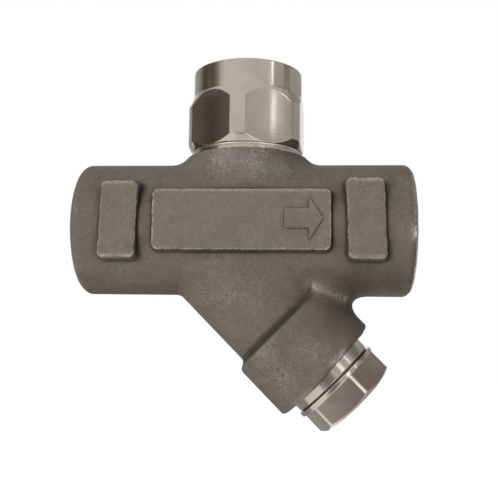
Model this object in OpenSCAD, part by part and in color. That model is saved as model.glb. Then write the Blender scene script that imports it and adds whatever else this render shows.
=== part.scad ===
// Disc steam trap with a built-in 45 degree Y strainer, half-inch threaded ends.
// +X is the flow direction, +Z points up through the trap cap, and the origin is the centre of the
// inlet port's end face. Sizes are in millimetres.

/* [Run] */
// Face to face length of the body
face_to_face = 78; // [70:0.5:90]
// Outer diameter of the run
run_od = 31.4; // [28:0.1:36]
// Chamfer at both ends of the run
run_chamfer = 1.2; // [0.4:0.1:2]

/* [Ports] */
// Minor diameter of the pipe thread in both ports
port_bore = 18.6; // [15:0.1:21]
// Depth of the thread in both ports
port_depth = 15; // [12:0.5:17]
// Diameter of the passage between the inlet port and the strainer
inlet_passage = 12; // [9:0.5:12]
// Diameter of the passage between the trap seat and the outlet port
outlet_passage = 9; // [6:0.5:10]
// Height of the outlet passage above the run's axis
outlet_rise = 4; // [3:0.5:5]

/* [Strainer branch] */
// Distance from the trap's axis back to where the branch axis crosses the run
branch_back = 14; // [12:0.5:16]
// Length of the branch, from the run's axis to its machined end face
branch_length = 49.4; // [47:0.1:54]
// Diameter of the branch where it leaves the run
branch_od = 24.4; // [23:0.1:27]
// Diameter of the boss at the branch's end
boss_od = 28.5; // [27.5:0.1:31]
// Length of the boss
boss_length = 13.7; // [11:0.1:15]
// Radius of the fillet that leads into the boss
boss_fillet = 1.9; // [1:0.1:3]
// Radius of the boss's outer corner
boss_round = 0.9; // [0.3:0.1:1.5]
// Diameter of the machined neck under the strainer cap
neck_od = 21.3; // [20.8:0.1:22.5]
// Length of the machined neck
neck_length = 2.3; // [1.5:0.1:3]
// Radius of the fillet between the run and the branch
branch_fillet = 2.9; // [2:0.1:4]

/* [Trap boss] */
// Height of the machined land above the top of the run
land_rise = 2.5; // [2:0.1:4]
// Diameter of the machined land under the trap cap
land_od = 26.7; // [25:0.1:28]
// Height of the machined land's rim
land_height = 0.55; // [0.3:0.05:1]
// Radius of the fillet between the run and the trap boss
boss_flare = 5; // [4:0.1:7]
// Length of the threaded spigot above the land
spigot_length = 9.6; // [9:0.1:11]
// Outer diameter of the spigot thread
spigot_thread = 22; // [21:0.1:22.4]

/* [Marking plates] */
// Length of the middle plate
plate_length = 39.6; // [30:0.1:42]
// Height of the middle plate
plate_height = 13.5; // [10:0.1:15]
// Width of the two side pads
pad_width = 8.4; // [6:0.1:9]
// Height of the two side pads
pad_height = 17.3; // [14:0.1:18]
// Distance from the trap's axis to the middle of each side pad
pad_place = 27.6; // [26:0.1:29]
// How far the plates stand out from the front of the run
plate_proud = 0.9; // [0.5:0.1:1.5]
// Corner radius of the plates
plate_round = 1.3; // [0.5:0.1:2]
// Height of the plates' middle above the run's axis
plate_lift = 0.2; // [0:0.1:0.6]
// Length of the flow arrow
arrow_length = 8.4; // [6:0.1:10]
// Width of the flow arrow's head
arrow_width = 9.4; // [7:0.1:10]
// Distance from the trap's axis to the flow arrow's tip
arrow_place = 18; // [16:0.1:19]
// How far the flow arrow stands out from the plate
arrow_proud = 0.3; // [0.2:0.05:0.5]

/* [Trap cap] */
// Height of the trap cap
cap_height = 19.9; // [18:0.1:23]
// Diameter of the trap cap's round top
cap_od = 26.6; // [24:0.1:26.8]
// Width across flats of the trap cap's hexagon
cap_flats = 26.8; // [26.6:0.1:29]
// Diameter that the hexagon's corners are turned to
cap_corner_od = 29.3; // [28.6:0.1:31]
// Height from the trap cap's underside to the top of the hexagon's corners
cap_hex_height = 10.5; // [9:0.1:12]
// Height of the cone between the hexagon and the round top
cap_cone_height = 3.1; // [2:0.1:4]
// Height of the chamfer at the hexagon's foot
cap_foot = 1.2; // [0.6:0.1:2]
// Diameter of the trap cap's underside
cap_foot_od = 26.6; // [26:0.1:27.6]
// Angle that the hexagon is turned by when the cap is tight
cap_clock = 24.5; // [0:0.1:60]
// Thickness of the ring gasket under the trap cap
cap_gasket_t = 0.4; // [0.3:0.05:1]

/* [Seat and disc] */
// Diameter of the seat
seat_od = 17.2; // [16.6:0.1:17.8]
// Thickness of the seat
seat_t = 4.6; // [4:0.1:5.5]
// Diameter of the seat's inlet orifice
orifice = 4; // [3:0.1:4.6]
// Outer diameter of the seat's inner ring
inner_ring_od = 6.8; // [6:0.1:7.2]
// Inner diameter of the seat's outer ring
outer_ring_id = 12; // [11.4:0.1:12.6]
// Depth of the groove between the seat's rings
seat_groove = 2.2; // [1:0.1:3]
// Diameter of each outlet hole in the seat
seat_hole = 2.2; // [1.6:0.1:2.4]
// Number of outlet holes in the seat
seat_holes = 3; // [2:1:6]
// Thickness of the two gaskets under the seat
seat_gasket_t = 0.4; // [0.3:0.05:0.8]
// Diameter of the disc
disc_od = 14.6; // [13.6:0.1:14.8]
// Thickness of the disc
disc_t = 2.6; // [2:0.1:3]
// Lift of the disc
disc_lift = 0.6; // [0.4:0.05:0.8]

/* [Strainer cap] */
// Width across flats of the strainer cap's hexagon
plug_flats = 19.4; // [18:0.1:20.4]
// Diameter that the hexagon's corners are turned to
plug_corner_od = 22; // [20.8:0.1:22.4]
// Length of the hexagon
plug_hex_length = 6.1; // [4.5:0.1:8]
// Chamfer at the hexagon's outer end
plug_chamfer = 0.9; // [0.4:0.1:1.5]
// Angle that the hexagon is turned by when the cap is tight
plug_clock = 13.9; // [0:0.1:60]
// Diameter of the strainer cap's washer face
plug_flange_od = 22.4; // [21.4:0.1:23]
// Thickness of the strainer cap's washer face
plug_flange_t = 1.1; // [0.5:0.1:1.5]
// Outer diameter of the strainer cap's thread
plug_thread = 18; // [17.6:0.1:18.4]
// Length of the strainer cap's threaded shank
plug_shank = 8.8; // [8:0.1:9.4]
// Thickness of the ring gasket under the strainer cap
plug_gasket_t = 0.4; // [0.3:0.05:0.8]

/* [Strainer screen] */
// Outer diameter of the screen
screen_od = 14; // [13.4:0.1:14.4]
// Thickness of the screen's sheet
screen_t = 0.4; // [0.3:0.05:0.6]
// Length of the screen that sits in the body
screen_seat = 6; // [4.5:0.1:7]
// Diameter of each hole in the screen
screen_hole = 1.6; // [0.8:0.1:2]
// Number of holes around the screen
screen_around = 8; // [6:2:12]
// Distance between the screen's rows of holes
screen_pitch = 3.6; // [3:0.1:5]

/* [Fits] */
// Pitch of both fine threads
thread_pitch = 1.5; // [1:0.25:2]
// Depth of both fine threads
thread_depth = 0.8; // [0.5:0.05:1]
// Clearance on radius in the threads and round fits
fit = 0.05; // [0.03:0.01:0.08]
// Clearance that keeps loose pieces free
free = 0.3; // [0.2:0.05:0.5]

/* [Hidden] */
$fn = 96;
overlap = 1;
relief = 0.35;

run_r = run_od / 2;
trap_x = face_to_face / 2;
branch_x = trap_x - branch_back;
branch_tilt = 135;
branch_axis = [sin(branch_tilt), 0, cos(branch_tilt)];
branch_side = [-cos(branch_tilt), 0, sin(branch_tilt)];

// Stations along the branch axis, from the run's axis outwards
boss_end = branch_length - neck_length;
boss_start = boss_end - boss_length;
plug_seat = branch_length + plug_gasket_t;
plug_bottom = plug_seat + plug_flange_t + plug_hex_length;
throat_end = 4;
elbow = 3;
pocket_start = throat_end + screen_seat;
throat_ease = 0.2;
throat_r = inlet_passage / 2 + throat_ease;
pocket_r = plug_thread / 2 + fit;
screen_r = screen_od / 2;
screen_top = throat_end + free;
screen_bottom = plug_seat + plug_flange_t + free;

// Heights along the trap's axis, from the run's axis upwards
land_z = run_r + land_rise;
flare_top = land_z - land_height;
cap_z = land_z + cap_gasket_t;
cap_top = cap_z + cap_height;
spigot_top = land_z + spigot_length;
spigot_r = spigot_thread / 2;
seat_proud = 0.2;
seat_top = spigot_top + seat_proud;
seat_bottom = seat_top - seat_t;
seat_floor = seat_bottom - seat_gasket_t;
seat_r = seat_od / 2;
seat_step = seat_top + fit;
hole_ring_r = (inner_ring_od + outer_ring_id) / 4;
channel_depth = 1.8;
riser_r = orifice / 2;
riser_foot = pocket_r * sqrt(2) - branch_back - riser_r - overlap;
outlet_drop_r = 1.8;
passage_wall = 1.3;
outlet_lead = 0.5;
outlet_drop_x = trap_x + riser_r + outlet_drop_r + passage_wall;
outlet_end = outlet_drop_x - outlet_drop_r - outlet_lead;

disc_r = disc_od / 2;
chamber_gap = 0.5;
stop_gap = 0.03;
stop_depth = 0.8;
stop_shares = [0.55, 0.85];
disc_groove = 0.4;
groove_shares = [0.3, 0.5, 0.7];
chamber_r = disc_r + chamber_gap;
stop_z = seat_top + disc_t + disc_lift + stop_gap;
chamber_top = stop_z + stop_depth;
stop_ring = disc_r * stop_shares;

// Shares of the thread's pitch and of the arrow's width
thread_flank = 0.45;
thread_root = 0.1;
head_share = 0.32;
shaft_share = 0.225;

gasket_width = 1.05;
plug_gasket_od = plug_thread + 2 * (free + gasket_width);

// The boss's own fillet covers only the side that meets the run
boss_fillet_angle = 34;
boss_fillet_rings = 10;

cast_grey = "#6f6860";
machined = "#b9b3a8";
gasket_grey = "#8f8c86";
screen_grey = "#a5a39c";

// Points on a circle's arc, from angle a to angle b
function arc(centre, r, a, b, steps = 8) =
    [for (i = [0 : steps]) centre + r * [cos(a + (b - a) * i / steps), sin(a + (b - a) * i / steps)]];

// Direction between the unit vectors a and b
function between(a, b, t) =
    let (w = acos(a * b)) (sin((1 - t) * w) * a + sin(t * w) * b) / sin(w);

// One section of the fillet that a ball of radius ball leaves between the run and a round branch
// of radius r, which leaves point from along axis. The angle phi goes around the branch.
function fillet_section(from, axis, side, r, ball, phi, steps, sink) =
    let (
        out = cos(phi) * side + [0, sin(phi), 0],
        y = (r + ball) * sin(phi),
        z = sign(axis.z) * sqrt(pow(run_r + ball, 2) - y * y),
        s = (z - from.z - (r + ball) * cos(phi) * side.z) / axis.z,
        to_run = -[0, y, z] / (run_r + ball),
        half = acos(-out * to_run) / 2,
        middle = (to_run - out) / norm(to_run - out),
        centre = from + s * axis + (r + ball) * out + middle * sink / cos(half)
    )
    concat(
        [centre - (ball + overlap) * out],
        [for (i = [0 : steps]) centre + ball * between(-out, to_run, i / steps)],
        [centre + (ball + overlap) * to_run],
        [centre + middle * (ball / cos(half) + overlap)]
    );

// The fillet from angle phi_a to phi_b around the branch
module run_fillet(from, axis, side, r, ball, phi_a = 0, phi_b = 360, rings = 36) {
    steps = 4;
    sink = 0.1;
    closed = phi_b - phi_a == 360;
    stations = closed ? rings : rings + 1;
    sections = [for (i = [0 : stations - 1])
        fillet_section(from, axis, side, r, ball, phi_a + (phi_b - phi_a) * i / rings, steps, sink)];
    count = len(sections[0]);
    points = [for (section = sections) each section];
    walls = [for (i = [0 : rings - 1], j = [0 : count - 1])
        let (
            a = i * count + j,
            b = i * count + (j + 1) % count,
            c = ((i + 1) % stations) * count + j,
            d = ((i + 1) % stations) * count + (j + 1) % count
        )
        each [[a, b, d], [a, d, c]]];
    last = rings * count;
    ends = closed ? [] : [for (j = [0 : count - 3])
        each [
            [count - 1, j + 1, j],
            [last + count - 1, last + j, last + j + 1]
        ]];
    polyhedron(points, concat(walls, ends));
}

// Rectangle with round corners, drawn in the plane
module round_plate(w, h, r) {
    square([w - 2 * r, h], center = true);
    square([w, h - 2 * r], center = true);
    for (x = [-1, 1], y = [-1, 1])
        translate([x * (w / 2 - r), y * (h / 2 - r)])
            circle(r);
}

// Threaded shank along +Z: each groove is a turned ring, so it stays a true round
module threaded_rod(r, length, run_out) {
    turns = floor((length - 2 * run_out) / thread_pitch);
    root = r - thread_depth;
    rotate_extrude()
        polygon(concat(
            [[0, 0], [r, 0]],
            [for (i = [0 : turns - 1])
                let (z = run_out + i * thread_pitch)
                each [
                    [r, z],
                    [root, z + thread_flank * thread_pitch],
                    [root, z + (thread_flank + thread_root) * thread_pitch],
                    [r, z + (2 * thread_flank + thread_root) * thread_pitch]
                ]],
            [[r, length - relief], [r - relief, length], [0, length]]
        ));
}

// Ring with a square section
module ring(r_in, r_out, t) {
    rotate_extrude()
        translate([r_in, 0])
            square([r_out - r_in, t]);
}

module at_trap(z = 0) {
    translate([trap_x, 0, z])
        children();
}

module at_branch(s = 0) {
    translate([branch_x, 0, 0])
        rotate([0, branch_tilt, 0])
            translate([0, 0, s])
                children();
}

module along_run(x, z = 0) {
    translate([x, 0, z])
        rotate([0, 90, 0])
            children();
}

module on_front(x) {
    translate([x, -run_r - plate_proud, plate_lift])
        rotate([-90, 0, 0])
            mirror([0, 1, 0])
                children();
}

module run_solid() {
    along_run(0)
        rotate_extrude()
            polygon([
                [0, 0],
                [run_r - run_chamfer, 0],
                [run_r, run_chamfer],
                [run_r, face_to_face - run_chamfer],
                [run_r - run_chamfer, face_to_face],
                [0, face_to_face]
            ]);
}

module branch_solid() {
    r1 = branch_od / 2;
    r2 = boss_od / 2;
    step = r2 - r1;
    sweep = acos(1 - step / boss_fillet / 2);
    reach = boss_fillet * sin(sweep);
    at_branch()
        rotate_extrude()
            polygon(concat(
                [[0, 0], [r1, 0]],
                arc([r1 + boss_fillet, boss_start - 2 * reach], boss_fillet, 180, 180 - sweep),
                arc([r2 - boss_fillet, boss_start], boss_fillet, -sweep, 0),
                arc([r2 - boss_round, boss_end - boss_round], boss_round, 0, 90),
                [[neck_od / 2, boss_end], [neck_od / 2, branch_length], [0, branch_length]]
            ));
}

module trap_boss_solid() {
    land_r = land_od / 2;
    at_trap()
        cylinder(r = land_r, h = land_z);
    intersection() {
        run_fillet([trap_x, 0, 0], [0, 0, 1], [-1, 0, 0], land_r, boss_flare);
        at_trap()
            cylinder(r = land_r + 2 * boss_flare, h = flare_top);
    }
    at_trap(land_z - overlap)
        threaded_rod(spigot_r, spigot_length + overlap, overlap + relief);
}

module marking_plates() {
    depth = run_r / 2;
    on_front(trap_x)
        linear_extrude(depth)
            round_plate(plate_length, plate_height, plate_round);
    for (side = [-1, 1])
        on_front(trap_x + side * pad_place)
            linear_extrude(depth)
                round_plate(pad_width, pad_height, plate_round);
    head = arrow_width * head_share;
    shaft = arrow_width * shaft_share;
    on_front(trap_x + arrow_place)
        translate([0, 0, -arrow_proud])
            linear_extrude(arrow_proud + overlap)
                polygon([
                    [0, 0],
                    [-head, arrow_width / 2],
                    [-head, shaft],
                    [-arrow_length, shaft],
                    [-arrow_length, -shaft],
                    [-head, -shaft],
                    [-head, -arrow_width / 2]
                ]);
}

module flow_passages() {
    for (x = [-overlap, face_to_face - port_depth])
        along_run(x)
            cylinder(r = port_bore / 2, h = port_depth + overlap);
    along_run(port_depth - overlap)
        cylinder(d = inlet_passage, h = branch_x - port_depth + elbow + overlap);
    along_run(outlet_end, outlet_rise)
        cylinder(d = outlet_passage, h = face_to_face - port_depth - outlet_end + overlap);
    translate([outlet_drop_x, 0, outlet_rise])
        cylinder(r = outlet_drop_r, h = seat_floor - channel_depth / 2 - outlet_rise);
    at_trap(riser_foot)
        cylinder(r = riser_r, h = seat_floor - riser_foot + overlap);
}

module strainer_pocket() {
    at_branch(-elbow)
        cylinder(r = throat_r, h = throat_end + elbow + overlap);
    at_branch(throat_end)
        cylinder(r = screen_r + fit, h = screen_seat + overlap);
    at_branch(pocket_start)
        cylinder(r = pocket_r, h = branch_length - pocket_start + overlap);
}

module seat_pocket() {
    at_trap(seat_floor)
        cylinder(r = seat_r + fit, h = spigot_top - seat_floor + overlap);
    at_trap(seat_floor - channel_depth)
        ring(inner_ring_od / 2, outer_ring_id / 2, channel_depth + overlap);
}

module body() {
    color(cast_grey)
        difference() {
            union() {
                run_solid();
                branch_solid();
                run_fillet([branch_x, 0, 0], branch_axis, branch_side, branch_od / 2, branch_fillet);
                run_fillet([branch_x, 0, 0], branch_axis, branch_side, boss_od / 2, branch_fillet,
                    -boss_fillet_angle, boss_fillet_angle, boss_fillet_rings);
                trap_boss_solid();
                marking_plates();
            }
            flow_passages();
            strainer_pocket();
            seat_pocket();
        }
}

module seat() {
    color(machined)
        at_trap(seat_bottom)
            difference() {
                cylinder(r = seat_r, h = seat_t);
                translate([0, 0, -overlap])
                    cylinder(d = orifice, h = seat_t + 2 * overlap);
                translate([0, 0, seat_t - seat_groove])
                    ring(inner_ring_od / 2, outer_ring_id / 2, seat_groove + overlap);
                for (i = [0 : seat_holes - 1])
                    rotate(360 / seat_holes * i)
                        translate([hole_ring_r, 0, -overlap])
                            cylinder(d = seat_hole, h = seat_t + overlap);
            }
}

module seat_inner_gasket() {
    color(gasket_grey)
        at_trap(seat_floor)
            ring(orifice / 2 + free, inner_ring_od / 2, seat_gasket_t);
}

module seat_outer_gasket() {
    color(gasket_grey)
        at_trap(seat_floor)
            ring(outer_ring_id / 2 + free, seat_r - free, seat_gasket_t);
}

// The disc's two faces have shallow turned grooves
module trap_disc() {
    color(machined)
        at_trap(seat_top)
            difference() {
                cylinder(r = disc_r, h = disc_t);
                for (share = groove_shares)
                    translate([0, 0, disc_t - disc_groove])
                        ring(disc_r * share, disc_r * share + disc_groove, disc_groove + overlap);
                translate([0, 0, -overlap])
                    ring(hole_ring_r - disc_groove, hole_ring_r + disc_groove, disc_groove + overlap);
            }
}

module trap_cap() {
    hex_z = cap_z + cap_hex_height;
    cone_z = hex_z + cap_cone_height;
    corner_r = cap_corner_od / 2;
    top_r = cap_od / 2;
    color(machined)
        difference() {
            intersection() {
                at_trap(cap_z)
                    rotate(cap_clock)
                        cylinder(d = cap_flats / cos(30), h = cap_height, $fn = 6);
                at_trap()
                    rotate_extrude()
                        polygon([
                            [0, cap_z],
                            [cap_foot_od / 2, cap_z],
                            [corner_r, cap_z + cap_foot],
                            [corner_r, hex_z],
                            [top_r, cone_z],
                            [top_r, cap_top - relief],
                            [top_r - relief, cap_top],
                            [0, cap_top]
                        ]);
            }
            at_trap(cap_z - overlap)
                cylinder(r = spigot_r + fit, h = seat_step - cap_z + overlap);
            at_trap(seat_step - overlap)
                cylinder(r = chamber_r, h = stop_z - seat_step + overlap);
            at_trap(stop_z - overlap)
                cylinder(r = stop_ring[0], h = chamber_top - stop_z + overlap);
            at_trap(stop_z - overlap)
                ring(stop_ring[1], chamber_r, chamber_top - stop_z + overlap);
        }
}

module cap_gasket() {
    color(gasket_grey)
        at_trap(land_z)
            ring(spigot_r + free, land_od / 2, cap_gasket_t);
}

module strainer_screen() {
    length = screen_bottom - screen_top;
    first = pocket_start - screen_top + screen_pitch;
    last = plug_seat - plug_shank - screen_top - screen_hole;
    rows = floor((last - first) / screen_pitch);
    color(screen_grey)
        at_branch(screen_top)
            difference() {
                ring(screen_r - screen_t, screen_r, length);
                for (row = [0 : rows], i = [0 : screen_around / 2 - 1])
                    translate([0, 0, first + row * screen_pitch])
                        rotate((i + (row % 2) / 2) * 360 / screen_around)
                            rotate([0, 90, 0])
                                cylinder(d = screen_hole, h = 2 * screen_od, center = true, $fn = 16);
            }
}

module strainer_cap() {
    corner_r = plug_corner_od / 2;
    hex_start = plug_seat + plug_flange_t;
    color(machined)
        difference() {
            union() {
                at_branch(plug_seat)
                    rotate([180, 0, 0])
                        threaded_rod(plug_thread / 2, plug_shank, relief);
                at_branch(plug_seat)
                    cylinder(d = plug_flange_od, h = plug_flange_t);
                intersection() {
                    at_branch(hex_start - overlap / 2)
                        rotate(plug_clock)
                            cylinder(d = plug_flats / cos(30), h = plug_hex_length + overlap / 2, $fn = 6);
                    at_branch()
                        rotate_extrude()
                            polygon([
                                [0, plug_seat],
                                [corner_r, plug_seat],
                                [corner_r, plug_bottom - plug_chamfer],
                                [corner_r - 2 * plug_chamfer, plug_bottom],
                                [0, plug_bottom]
                            ]);
                }
            }
            at_branch(plug_seat - plug_shank - overlap)
                cylinder(r = screen_r + 2 * fit, h = screen_bottom + free - plug_seat + plug_shank + overlap);
        }
}

module strainer_gasket() {
    color(gasket_grey)
        at_branch(branch_length)
            ring(plug_thread / 2 + free, plug_gasket_od / 2, plug_gasket_t);
}

body();
seat();
seat_inner_gasket();
seat_outer_gasket();
trap_disc();
trap_cap();
cap_gasket();
strainer_screen();
strainer_cap();
strainer_gasket();
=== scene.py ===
import math

import bpy
import numpy as np
from mathutils import Matrix, Vector


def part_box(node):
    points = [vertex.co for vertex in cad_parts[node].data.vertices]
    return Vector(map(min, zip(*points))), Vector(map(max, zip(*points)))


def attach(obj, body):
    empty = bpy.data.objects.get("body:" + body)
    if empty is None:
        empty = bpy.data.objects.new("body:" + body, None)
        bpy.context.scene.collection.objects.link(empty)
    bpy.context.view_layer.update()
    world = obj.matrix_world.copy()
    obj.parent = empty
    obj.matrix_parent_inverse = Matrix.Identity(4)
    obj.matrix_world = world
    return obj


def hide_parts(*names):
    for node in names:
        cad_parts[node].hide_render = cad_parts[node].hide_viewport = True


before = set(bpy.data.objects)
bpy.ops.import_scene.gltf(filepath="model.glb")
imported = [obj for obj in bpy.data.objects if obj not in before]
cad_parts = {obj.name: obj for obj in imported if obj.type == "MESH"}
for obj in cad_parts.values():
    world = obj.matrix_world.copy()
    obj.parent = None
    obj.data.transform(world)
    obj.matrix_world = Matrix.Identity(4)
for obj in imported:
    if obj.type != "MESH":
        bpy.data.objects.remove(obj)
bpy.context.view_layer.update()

# The dressed look of a small disc steam trap with a slanted strainer branch.
# Shapes are worked out in millimetres in the CAD frame and become metres when a mesh is made.
MM = 0.001
ROOT_HALF = math.sqrt(0.5)

# Least length to divide by, how far hidden forms run into each other, and points around a turned piece
TINY = 1e-6
OVERLAP = 1.0
ROUND_STEPS = 120


def node_box(name):
    """Lowest and highest corner of a CAD node, in millimetres."""
    low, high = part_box(name)
    return np.array(low) / MM, np.array(high) / MM


# Sizes that the frame gives
body_low, body_high = node_box("body")
ring_low, ring_high = node_box("cap_gasket")
cap_low, cap_high = node_box("trap_cap")
RUN_LENGTH = body_high[0]
RUN_R = body_high[1]
TRAP_X = (ring_low[0] + ring_high[0]) / 2
LAND_R = ring_high[1]
LAND_Z = ring_low[2]
CAP_Z = cap_low[2]
CAP_TOP = cap_high[2]

# Run and ports
END_CHAMFER = 1.2
END_ROUND = 0.5
END_RIM = 0.45
PORT_MINOR_R = 9.3
PORT_MAJOR_R = 10.45
PORT_DEPTH = 15.0
PORT_MOUTH = 1.1
PORT_LEAD = 1.1
PORT_PITCH = 1.814
PORT_ROOT_R = PORT_MAJOR_R - 0.05
PORT_SINK = 0.12
PORT_SKIN = 0.1
INLET_R = 6.0
OUTLET_R = 4.5
OUTLET_RISE = 4.0
OUTLET_START = 41.8
DROP_X = TRAP_X + 5.1
DROP_R = 1.8
RISER_R = 2.0
RISER_FOOT = -4.2

# Strainer branch, measured along its axis from the run's axis
BRANCH_X = TRAP_X - 14.0
BRANCH_TURN = math.radians(135)
INLET_END = BRANCH_X + 3.0
TUBE_R = 12.2
BOSS_R = 14.25
BOSS_START = 32.5
BOSS_END = 47.05
BOSS_TILT = 0.09
BOSS_TILT_SPAN = (-4.0, 7.0)
BOSS_ROUND = 0.9
SHOULDER_ROUND = 1.4
STEP_BLEND = 1.4
# The painted shadow on the tube beside the boss's step: its strength, reach before and after the step, rim,
# and fade across the branch
STEP_SHADOW = 0.15
STEP_REACH = (1.6, 1.1)
STEP_RIM = (0.3, 0.8)
STEP_FADE = 9.0
STEP_FADE_SPAN = 5.0
NECK_R = 10.65
NECK_ROOT = BOSS_END - 1.2
NECK_END = 49.4
NECK_CHAMFER = 0.3
THROAT_R = 6.2
THROAT_SPAN = (-3.0, 5.0)
SCREEN_SEAT_R = 7.05
SCREEN_SEAT_START = 4.0
POCKET_R = 9.05
POCKET_START = 10.0

# Trap boss and spigot
LAND_HEIGHT = 0.8
FLARE_TOP = LAND_Z - LAND_HEIGHT
SPIGOT_R = 11.0
SPIGOT_TOP = LAND_Z + 9.6
LAND_SINK = 0.1
SEAT_R = 8.65
SEAT_FLOOR = 23.0
SEAT_CHAMFER = 0.2
CAP_RING_R = SPIGOT_R + 0.3

# Threads: their fine pitch and depth, the plain lead at an end, where they run out, and the form of a groove
FINE_PITCH = 1.5
FINE_DEPTH = 0.8
THREAD_LEAD = 0.4
THREAD_RUNOUT = 0.3
THREAD_STEPS = 10
GROOVE_WIDTH = 1.25
GROOVE_SLOPE = 2.9

# Radii where the cast forms run into each other
TRAP_BLEND_SIDE = 5.0
TRAP_BLEND_FRONT = 3.0
BRANCH_BLEND = 3.0
BRANCH_BLEND_SWING = 2.3
PLATE_FOOT = 0.35

# Raised plates on the front
PLATE_Y = body_low[1] + 0.3
PLATE_Z = 0.2
PLATE_HALF = (19.8, 6.75)
PAD_HALF = (4.2, 8.65)
PAD_PLACE = 27.6
PAD_LEAN = 0.031
PAD_RISE = {-1: 0.0, 1: 0.65}
PLATE_CORNER = 1.3
PLATE_EDGE = 0.25
PAD_EDGE = 0.5
PLATE_WOBBLE = 0.025
PLATE_WAVES = ((0.5, 0.6, 0.0), (1.1, -1.7, 0.0), (-1.9, 1.3, 1.0))
PLATE_DRAFT = math.tan(math.radians(6))
PLATE_DEPTH = 8.0

# Flow arrow
ARROW_TIP = TRAP_X + 18.0
ARROW_HEAD = TRAP_X + 15.0
ARROW_TAIL = TRAP_X + 9.6
ARROW_Z = 0.38
ARROW_HALF = 4.7
ARROW_SHAFT = 2.1
ARROW_PROUD = 0.3
ARROW_SKIRT = 0.5

# Levels of the arrow's edge: distance outside its outline, depth behind the plate's face, and bend, whose
# values below 0 paint shade round the arrow's foot
ARROW_LEVELS = [
    (ARROW_SKIRT, 0.15, -0.1),
    (ARROW_SKIRT - 0.08, -0.01, -0.2),
    (0.16, -0.03, -0.3),
    (0.06, -0.8 * ARROW_PROUD, -0.12),
    (-0.06, -ARROW_PROUD, 0.06),
]

# Trap cap
CAP_R = 13.3
CAP_FLATS = 27.1
CAP_CORNER_R = 14.65
CAP_HEX_TOP = CAP_Z + 10.5
CAP_CONE_TOP = CAP_HEX_TOP + 3.1
CAP_EDGE = 0.3
CAP_FOOT = 1.65
CAP_FOOT_R = 13.55
CAP_LEAST_FOOT = 0.02
CAP_CLOCK = math.radians(24.5)
CAP_BORE_R = 11.05
CAP_BORE_TOP = 28.05
CAP_LEAD = 0.5
CAP_RELIEF = 0.2
CAP_THREAD_START = CAP_Z + 0.8
CAP_THREAD_DEPTH = 0.6
CHAMBER_R = 7.8
CHAMBER_TOP = 32.03

# Strainer cap, along the branch's axis
PLUG_SEAT = 49.8
PLUG_FLANGE_R = 11.2
PLUG_FLANGE = 1.1
PLUG_END = 57.0
PLUG_FLATS = 19.64
PLUG_CORNER_R = 11.0
PLUG_CHAMFER = 0.9
PLUG_CLOCK = math.radians(13.9)
PLUG_THREAD_R = 9.0
PLUG_SHANK = 8.8
PLUG_LEAD = 0.5
PLUG_RUNOUT = 0.6
PLUG_RELIEF = 0.3
PLUG_BORE_R = 7.1
PLUG_BORE_END = 51.5
PLUG_END_RIM = 0.8
GASKET_R = (9.3, 10.35)

# Edges of the plates where they are rubbed and carry painted highlights, and the spots along them
PAD_INSET = 0.2
PAD_TOP = PLATE_Z + PAD_HALF[1] - PAD_INSET
PAD_BOTTOM = PLATE_Z - PAD_HALF[1] + PAD_INSET
PAD_RUB_END = 0.8
PAD_RUB_SINK = 0.15
PAD_RUB_REACH = 0.55
PAD_RUB_SPOTS = 9
PLATE_TOP = PLATE_Z + PLATE_HALF[1] - 0.1
PLATE_RUB_HALF = 18.6
PLATE_RUB_SINK = 0.1
PLATE_RUB_REACH = 0.4
PLATE_RUB_SPOTS = 60


def row_of_spots(start, end, count):
    """Spots evenly spaced from the first to the last."""
    return np.linspace(start, end, count).tolist()


def plate_edge(strength):
    """Spots along the top edge of the middle plate."""
    ends = [(TRAP_X + side * PLATE_RUB_HALF, PLATE_Y + PLATE_RUB_SINK, PLATE_TOP, PLATE_RUB_REACH, strength)
            for side in (-1, 1)]
    return row_of_spots(*ends, PLATE_RUB_SPOTS)


def pad_edge(side, z, strength):
    """Spots along the top or bottom edge of a side pad."""
    middle = TRAP_X + side * (PAD_PLACE - PAD_LEAN * (z - PLATE_Z))
    half = PAD_HALF[0] - PAD_RUB_END
    ends = [(x, PLATE_Y + PAD_RUB_SINK, z, PAD_RUB_REACH, strength) for x in (middle - half, middle + half)]
    return row_of_spots(*ends, PAD_RUB_SPOTS)


def boss_edge(angle, reach, strength):
    """A spot on the boss's outer edge, at an angle around the branch from its upper side to the front."""
    turn = math.radians(angle)
    radius = BOSS_R - BOSS_ROUND / 2
    across = radius * math.cos(turn)
    tilt = BOSS_TILT * min(max(across, BOSS_TILT_SPAN[0]), BOSS_TILT_SPAN[1])
    along = BOSS_END - BOSS_ROUND / 3 - tilt
    x = BRANCH_X + (along + across) * ROOT_HALF
    z = (across - along) * ROOT_HALF
    return x, -radius * math.sin(turn), z, reach, strength


def end_edge(angle, reach, strength):
    """A spot on the outlet end's rim, at an angle from the front upwards."""
    turn = math.radians(angle)
    radius = RUN_R - END_CHAMFER / 2
    return (RUN_LENGTH - END_CHAMFER / 2, -radius * math.cos(turn), radius * math.sin(turn), reach, strength)


# Places on the casting that are rubbed bright, with painted highlights and glints among them: x, y, z, reach
# and strength, as in the two lists below
RUBS_AND_HIGHLIGHTS = [
    # A painted highlight along the ridge where the run's underside blends into the branch
    *row_of_spots((54.6, -10.1, -13.7, 1.0, 0.75), (62.4, -5.2, -16.7, 1.0, 0.75), 12),
    *plate_edge(0.9),
    *pad_edge(-1, PAD_TOP, 1.0),
    *pad_edge(-1, PAD_BOTTOM, 1.2),
    *pad_edge(1, PAD_TOP + PAD_RISE[1], 1.2),
    *pad_edge(1, PAD_BOTTOM, 0.8),
    # Rubbed edges of the boss and the outlet end's rim, with painted glints on them
    *(boss_edge(angle, 0.7, 2.0) for angle in range(66, 84, 3)),
    *(boss_edge(angle, 0.6, 1.0) for angle in range(112, 136, 3)),
    *(end_edge(angle, 0.5, 1.2) for angle in range(-12, 62, 2)),
    *(end_edge(angle, 0.9, 3.0) for angle in (-12, -9, -6)),
]
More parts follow.
